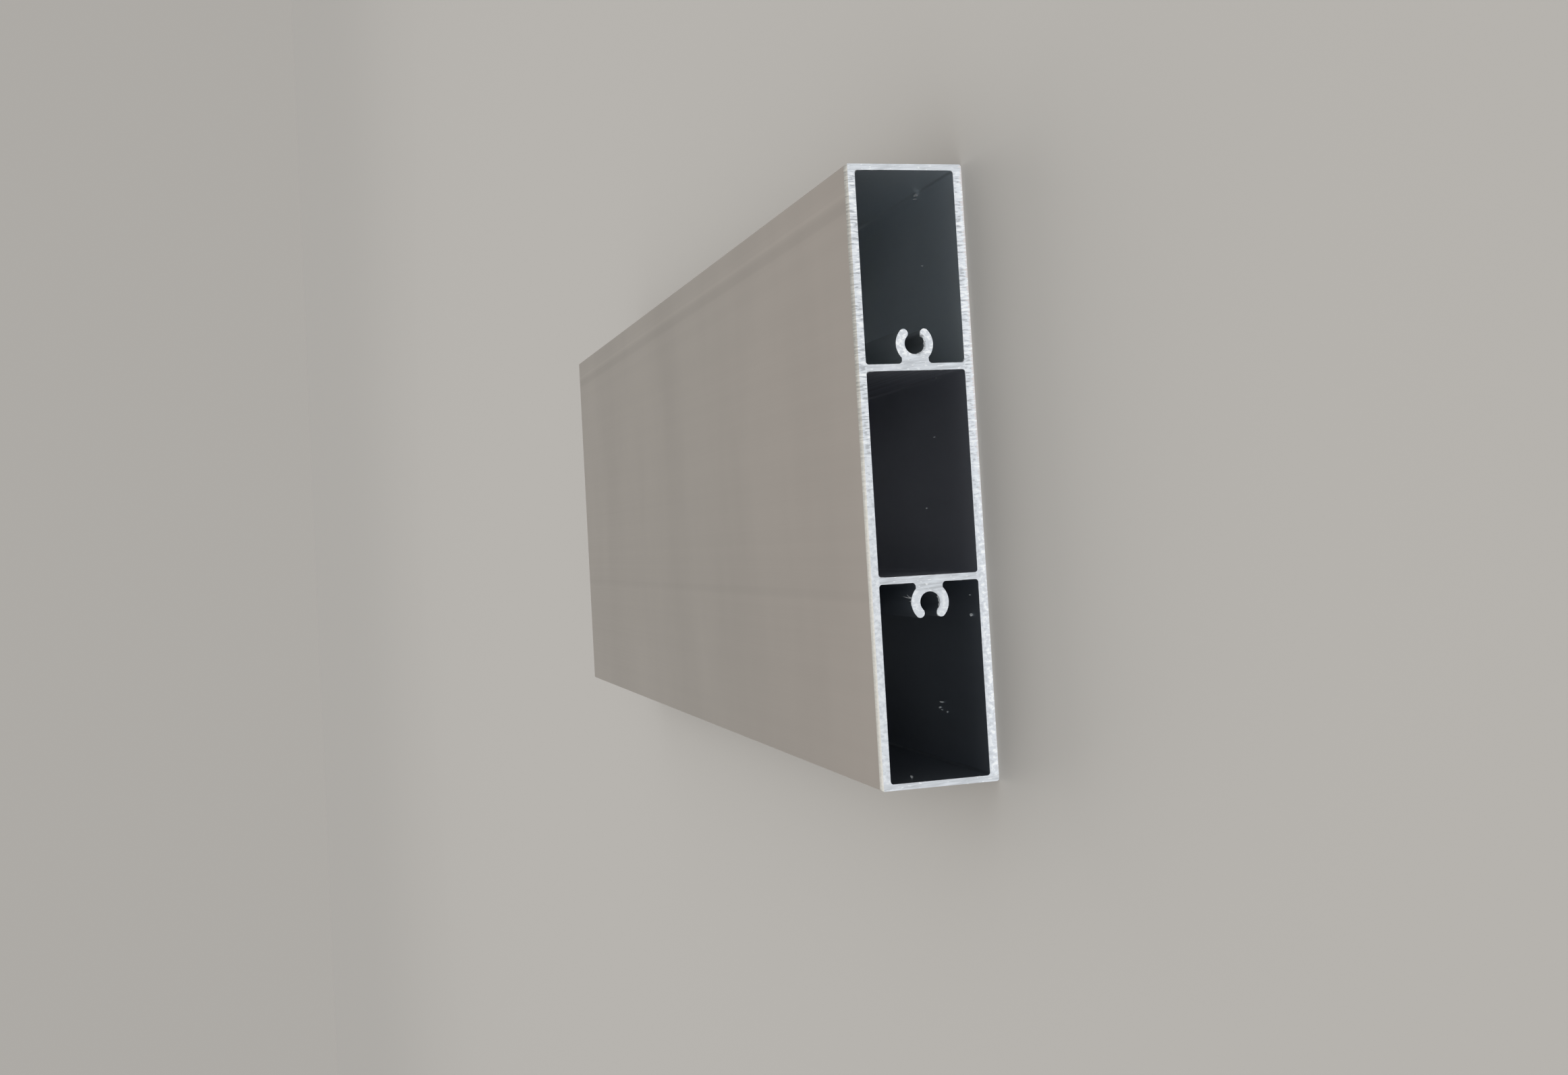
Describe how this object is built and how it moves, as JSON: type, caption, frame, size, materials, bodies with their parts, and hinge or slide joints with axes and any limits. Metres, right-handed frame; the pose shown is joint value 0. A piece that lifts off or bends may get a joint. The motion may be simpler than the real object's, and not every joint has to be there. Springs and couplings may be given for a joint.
{
  "type": "aluminium extrusion profile",
  "caption": "Hollow rectangular aluminium extrusion with side-by-side chambers and C-shaped screw ports on its webs, sawn square to a short sample length.",
  "frame": {"origin": "middle of the lower broad face, which the profile lies on", "axes": "+X across the width, +Y along the length of the extrusion, +Z through the thickness and out of the upper broad face"},
  "size_m": [0.1, 0.25, 0.02],
  "materials": {
    "mill_aluminium": "satin mill finish along the length, bright saw-cut ends"
  },
  "bodies": {
    "root": {"profile": "mill_aluminium"}
  },
  "joints": []
}
